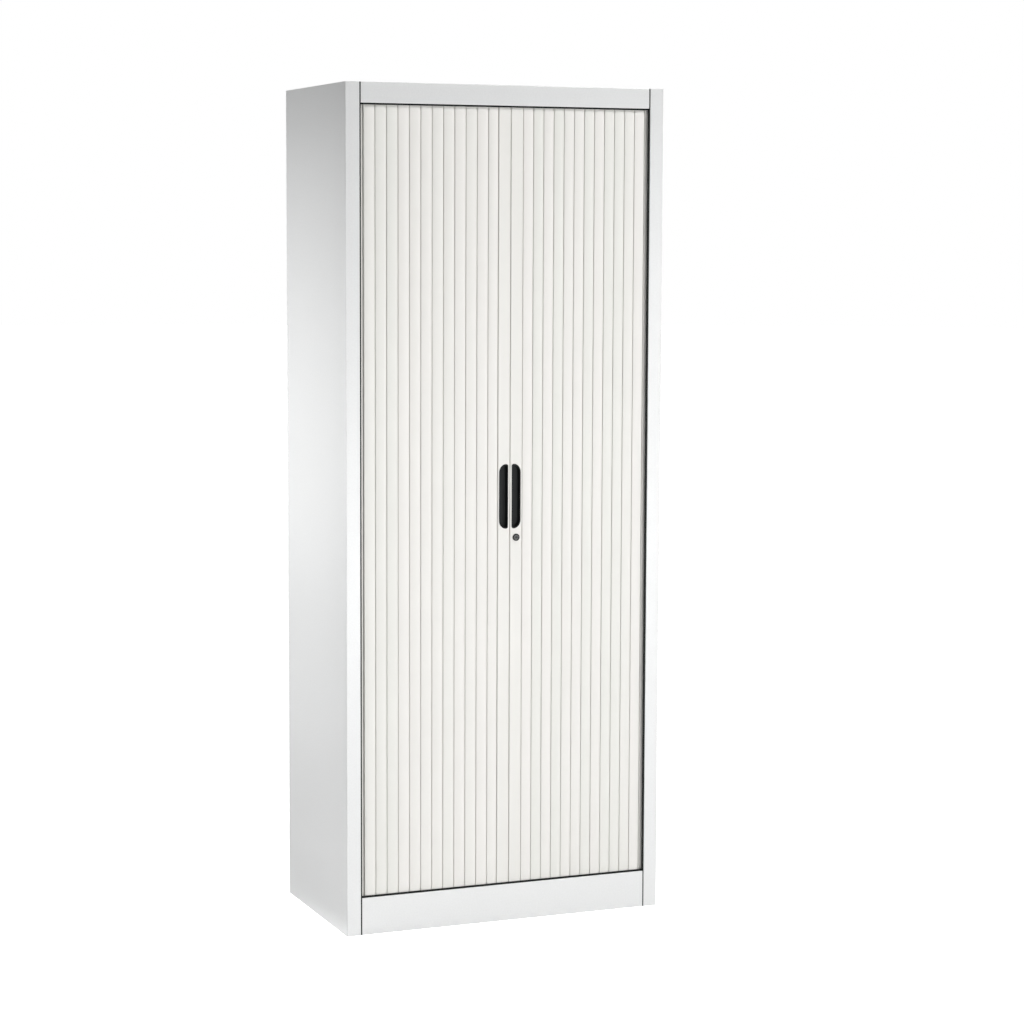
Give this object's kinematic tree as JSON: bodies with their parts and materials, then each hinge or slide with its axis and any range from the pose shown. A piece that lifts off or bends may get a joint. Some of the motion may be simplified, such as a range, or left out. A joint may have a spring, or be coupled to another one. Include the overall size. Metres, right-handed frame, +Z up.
{
  "type": "tambour door cabinet",
  "caption": "Tall steel office cabinet with tambour doors of upright plastic slats that slide apart sideways, recessed handles, a hook lock, shelves and levelling feet.",
  "frame": {"origin": "on the floor, under the middle of the cabinet", "axes": "+Z up, -Y towards the front with the doors, +X to the right of someone who faces the front"},
  "size_m": [0.8, 0.44, 1.98],
  "materials": {
    "carcass_paint": "fine powder coat",
    "slat_plastic": "satin extrusion",
    "black_plastic": "satin moulded",
    "lock_black": "black, satin",
    "lock_steel": "dark nickel",
    "zinc": "zinc plated",
    "foot_steel": "zinc plated",
    "rubber": "matt"
  },
  "bodies": {
    "root": {"side_panel_left": "carcass_paint", "side_panel_right": "carcass_paint", "top_panel": "carcass_paint", "ceiling_panel": "carcass_paint", "base_panel": "carcass_paint", "plinth": "carcass_paint", "back_panel": "carcass_paint", "edge_seal_left": "black_plastic", "edge_seal_right": "black_plastic", "lining_left": "carcass_paint", "lining_right": "carcass_paint", "shelf_1": "carcass_paint", "shelf_2": "carcass_paint", "shelf_3": "carcass_paint", "shelf_4": "carcass_paint", "shelf_clips": "zinc", "bottom_track": "black_plastic", "top_track": "black_plastic", "track_screws": "zinc", "track_buffers": "rubber", "corner_slats_left": "slat_plastic", "corner_slats_right": "slat_plastic", "leveller_bosses": "zinc"},
    "left_leaf": {"left_leading_slat": "slat_plastic", "left_handle_cup": "black_plastic", "lock_striker": "zinc"},
    "right_leaf": {"right_leading_slat": "slat_plastic", "right_handle_cup": "black_plastic", "lock_housing": "lock_black"},
    "lock": {"lock_plug": "lock_steel", "lock_hook": "zinc"},
    "left_slat_01": {"left_slat_01": "slat_plastic"},
    "left_slat_02": {"left_slat_02": "slat_plastic"},
    "left_slat_03": {"left_slat_03": "slat_plastic"},
    "left_slat_04": {"left_slat_04": "slat_plastic"},
    "left_slat_05": {"left_slat_05": "slat_plastic"},
    "left_slat_06": {"left_slat_06": "slat_plastic"},
    "left_slat_07": {"left_slat_07": "slat_plastic"},
    "left_slat_08": {"left_slat_08": "slat_plastic"},
    "left_slat_09": {"left_slat_09": "slat_plastic"},
    "left_slat_10": {"left_slat_10": "slat_plastic"},
    "left_slat_11": {"left_slat_11": "slat_plastic"},
    "left_slat_12": {"left_slat_12": "slat_plastic"},
    "right_slat_01": {"right_slat_01": "slat_plastic"},
    "right_slat_02": {"right_slat_02": "slat_plastic"},
    "right_slat_03": {"right_slat_03": "slat_plastic"},
    "right_slat_04": {"right_slat_04": "slat_plastic"},
    "right_slat_05": {"right_slat_05": "slat_plastic"},
    "right_slat_06": {"right_slat_06": "slat_plastic"},
    "right_slat_07": {"right_slat_07": "slat_plastic"},
    "right_slat_08": {"right_slat_08": "slat_plastic"},
    "right_slat_09": {"right_slat_09": "slat_plastic"},
    "right_slat_10": {"right_slat_10": "slat_plastic"},
    "right_slat_11": {"right_slat_11": "slat_plastic"},
    "right_slat_12": {"right_slat_12": "slat_plastic"},
    "foot_front_left": {"foot_front_left": "foot_steel"},
    "foot_front_right": {"foot_front_right": "foot_steel"},
    "foot_rear_left": {"foot_rear_left": "foot_steel"},
    "foot_rear_right": {"foot_rear_right": "foot_steel"}
  },
  "joints": [
    {"name": "left_leaf_slide", "type": "slide", "parent": "root", "child": "left_leaf", "axis": [-1, 0, 0], "range_m": [0, 0.3274]},
    {"name": "left_slat_01_slide", "type": "slide", "parent": "root", "child": "left_slat_01", "axis": [-1, 0, 0], "range_m": [0, 0.02751], "deforming": ["left_slat_01"]},
    {"name": "left_slat_02_slide", "type": "slide", "parent": "root", "child": "left_slat_02", "axis": [-1, 0, 0], "range_m": [0, 0.055], "deforming": ["left_slat_02"]},
    {"name": "left_slat_03_slide", "type": "slide", "parent": "root", "child": "left_slat_03", "axis": [-1, 0, 0], "range_m": [0, 0.0825], "deforming": ["left_slat_03"]},
    {"name": "left_slat_04_slide", "type": "slide", "parent": "root", "child": "left_slat_04", "axis": [-1, 0, 0], "range_m": [0, 0.10999], "deforming": ["left_slat_04"]},
    {"name": "left_slat_05_slide", "type": "slide", "parent": "root", "child": "left_slat_05", "axis": [-1, 0, 0], "range_m": [0, 0.13749], "deforming": ["left_slat_05"]},
    {"name": "left_slat_06_slide", "type": "slide", "parent": "root", "child": "left_slat_06", "axis": [-1, 0, 0], "range_m": [0, 0.16499], "deforming": ["left_slat_06"]},
    {"name": "left_slat_07_slide", "type": "slide", "parent": "root", "child": "left_slat_07", "axis": [-1, 0, 0], "range_m": [0, 0.19248], "deforming": ["left_slat_07"]},
    {"name": "left_slat_08_slide", "type": "slide", "parent": "root", "child": "left_slat_08", "axis": [-1, 0, 0], "range_m": [0, 0.21998], "deforming": ["left_slat_08"]},
    {"name": "left_slat_09_slide", "type": "slide", "parent": "root", "child": "left_slat_09", "axis": [-1, 0, 0], "range_m": [0, 0.24748], "deforming": ["left_slat_09"]},
    {"name": "left_slat_10_slide", "type": "slide", "parent": "root", "child": "left_slat_10", "axis": [-1, 0, 0], "range_m": [0, 0.27497], "deforming": ["left_slat_10"]},
    {"name": "left_slat_11_slide", "type": "slide", "parent": "root", "child": "left_slat_11", "axis": [-1, 0, 0], "range_m": [0, 0.30247], "deforming": ["left_slat_11"]},
    {"name": "left_slat_12_slide", "type": "slide", "parent": "root", "child": "left_slat_12", "axis": [-1, 0, 0], "range_m": [0, 0.32741], "deforming": ["left_slat_12"]},
    {"name": "right_leaf_slide", "type": "slide", "parent": "root", "child": "right_leaf", "axis": [1, 0, 0], "range_m": [0, 0.306]},
    {"name": "right_slat_01_slide", "type": "slide", "parent": "root", "child": "right_slat_01", "axis": [1, 0, 0], "range_m": [0, 0.02551], "deforming": ["right_slat_01"]},
    {"name": "right_slat_02_slide", "type": "slide", "parent": "root", "child": "right_slat_02", "axis": [1, 0, 0], "range_m": [0, 0.05101], "deforming": ["right_slat_02"]},
    {"name": "right_slat_03_slide", "type": "slide", "parent": "root", "child": "right_slat_03", "axis": [1, 0, 0], "range_m": [0, 0.07651], "deforming": ["right_slat_03"]},
    {"name": "right_slat_04_slide", "type": "slide", "parent": "root", "child": "right_slat_04", "axis": [1, 0, 0], "range_m": [0, 0.10201], "deforming": ["right_slat_04"]},
    {"name": "right_slat_05_slide", "type": "slide", "parent": "root", "child": "right_slat_05", "axis": [1, 0, 0], "range_m": [0, 0.12751], "deforming": ["right_slat_05"]},
    {"name": "right_slat_06_slide", "type": "slide", "parent": "root", "child": "right_slat_06", "axis": [1, 0, 0], "range_m": [0, 0.15301], "deforming": ["right_slat_06"]},
    {"name": "right_slat_07_slide", "type": "slide", "parent": "root", "child": "right_slat_07", "axis": [1, 0, 0], "range_m": [0, 0.17851], "deforming": ["right_slat_07"]},
    {"name": "right_slat_08_slide", "type": "slide", "parent": "root", "child": "right_slat_08", "axis": [1, 0, 0], "range_m": [0, 0.20401], "deforming": ["right_slat_08"]},
    {"name": "right_slat_09_slide", "type": "slide", "parent": "root", "child": "right_slat_09", "axis": [1, 0, 0], "range_m": [0, 0.22951], "deforming": ["right_slat_09"]},
    {"name": "right_slat_10_slide", "type": "slide", "parent": "root", "child": "right_slat_10", "axis": [1, 0, 0], "range_m": [0, 0.25501], "deforming": ["right_slat_10"]},
    {"name": "right_slat_11_slide", "type": "slide", "parent": "root", "child": "right_slat_11", "axis": [1, 0, 0], "range_m": [0, 0.28051], "deforming": ["right_slat_11"]},
    {"name": "right_slat_12_slide", "type": "slide", "parent": "root", "child": "right_slat_12", "axis": [1, 0, 0], "range_m": [0, 0.30601], "deforming": ["right_slat_12"]},
    {"name": "lock_turn", "type": "hinge", "parent": "right_leaf", "child": "lock", "pos_m": [0.0267, -0.2, 0.922], "axis": [0, -1, 0], "range_deg": [0, 90]},
    {"name": "foot_front_left_screw", "type": "slide", "parent": "root", "child": "foot_front_left", "axis": [0, 0, -1], "range_m": [0, 0.015]},
    {"name": "foot_front_right_screw", "type": "slide", "parent": "root", "child": "foot_front_right", "axis": [0, 0, -1], "range_m": [0, 0.015]},
    {"name": "foot_rear_left_screw", "type": "slide", "parent": "root", "child": "foot_rear_left", "axis": [0, 0, -1], "range_m": [0, 0.015]},
    {"name": "foot_rear_right_screw", "type": "slide", "parent": "root", "child": "foot_rear_right", "axis": [0, 0, -1], "range_m": [0, 0.015]}
  ],
  "couplings": [
    {"joint": "left_slat_01_slide", "follows": "left_leaf_slide", "ratio": 0.083983},
    {"joint": "left_slat_02_slide", "follows": "left_leaf_slide", "ratio": 0.16797},
    {"joint": "left_slat_03_slide", "follows": "left_leaf_slide", "ratio": 0.25195},
    {"joint": "left_slat_04_slide", "follows": "left_leaf_slide", "ratio": 0.33593},
    {"joint": "left_slat_05_slide", "follows": "left_leaf_slide", "ratio": 0.41992},
    {"joint": "left_slat_06_slide", "follows": "left_leaf_slide", "ratio": 0.5039},
    {"joint": "left_slat_07_slide", "follows": "left_leaf_slide", "ratio": 0.58788},
    {"joint": "left_slat_08_slide", "follows": "left_leaf_slide", "ratio": 0.67187},
    {"joint": "left_slat_09_slide", "follows": "left_leaf_slide", "ratio": 0.75585},
    {"joint": "left_slat_10_slide", "follows": "left_leaf_slide", "ratio": 0.83983},
    {"joint": "left_slat_11_slide", "follows": "left_leaf_slide", "ratio": 0.92382},
    {"joint": "left_slat_12_slide", "follows": "left_leaf_slide", "ratio": 1},
    {"joint": "right_slat_01_slide", "follows": "right_leaf_slide", "ratio": 0.083333},
    {"joint": "right_slat_02_slide", "follows": "right_leaf_slide", "ratio": 0.16667},
    {"joint": "right_slat_03_slide", "follows": "right_leaf_slide", "ratio": 0.25},
    {"joint": "right_slat_04_slide", "follows": "right_leaf_slide", "ratio": 0.33333},
    {"joint": "right_slat_05_slide", "follows": "right_leaf_slide", "ratio": 0.41667},
    {"joint": "right_slat_06_slide", "follows": "right_leaf_slide", "ratio": 0.5},
    {"joint": "right_slat_07_slide", "follows": "right_leaf_slide", "ratio": 0.58333},
    {"joint": "right_slat_08_slide", "follows": "right_leaf_slide", "ratio": 0.66667},
    {"joint": "right_slat_09_slide", "follows": "right_leaf_slide", "ratio": 0.75},
    {"joint": "right_slat_10_slide", "follows": "right_leaf_slide", "ratio": 0.83333},
    {"joint": "right_slat_11_slide", "follows": "right_leaf_slide", "ratio": 0.91667},
    {"joint": "right_slat_12_slide", "follows": "right_leaf_slide", "ratio": 1}
  ]
}
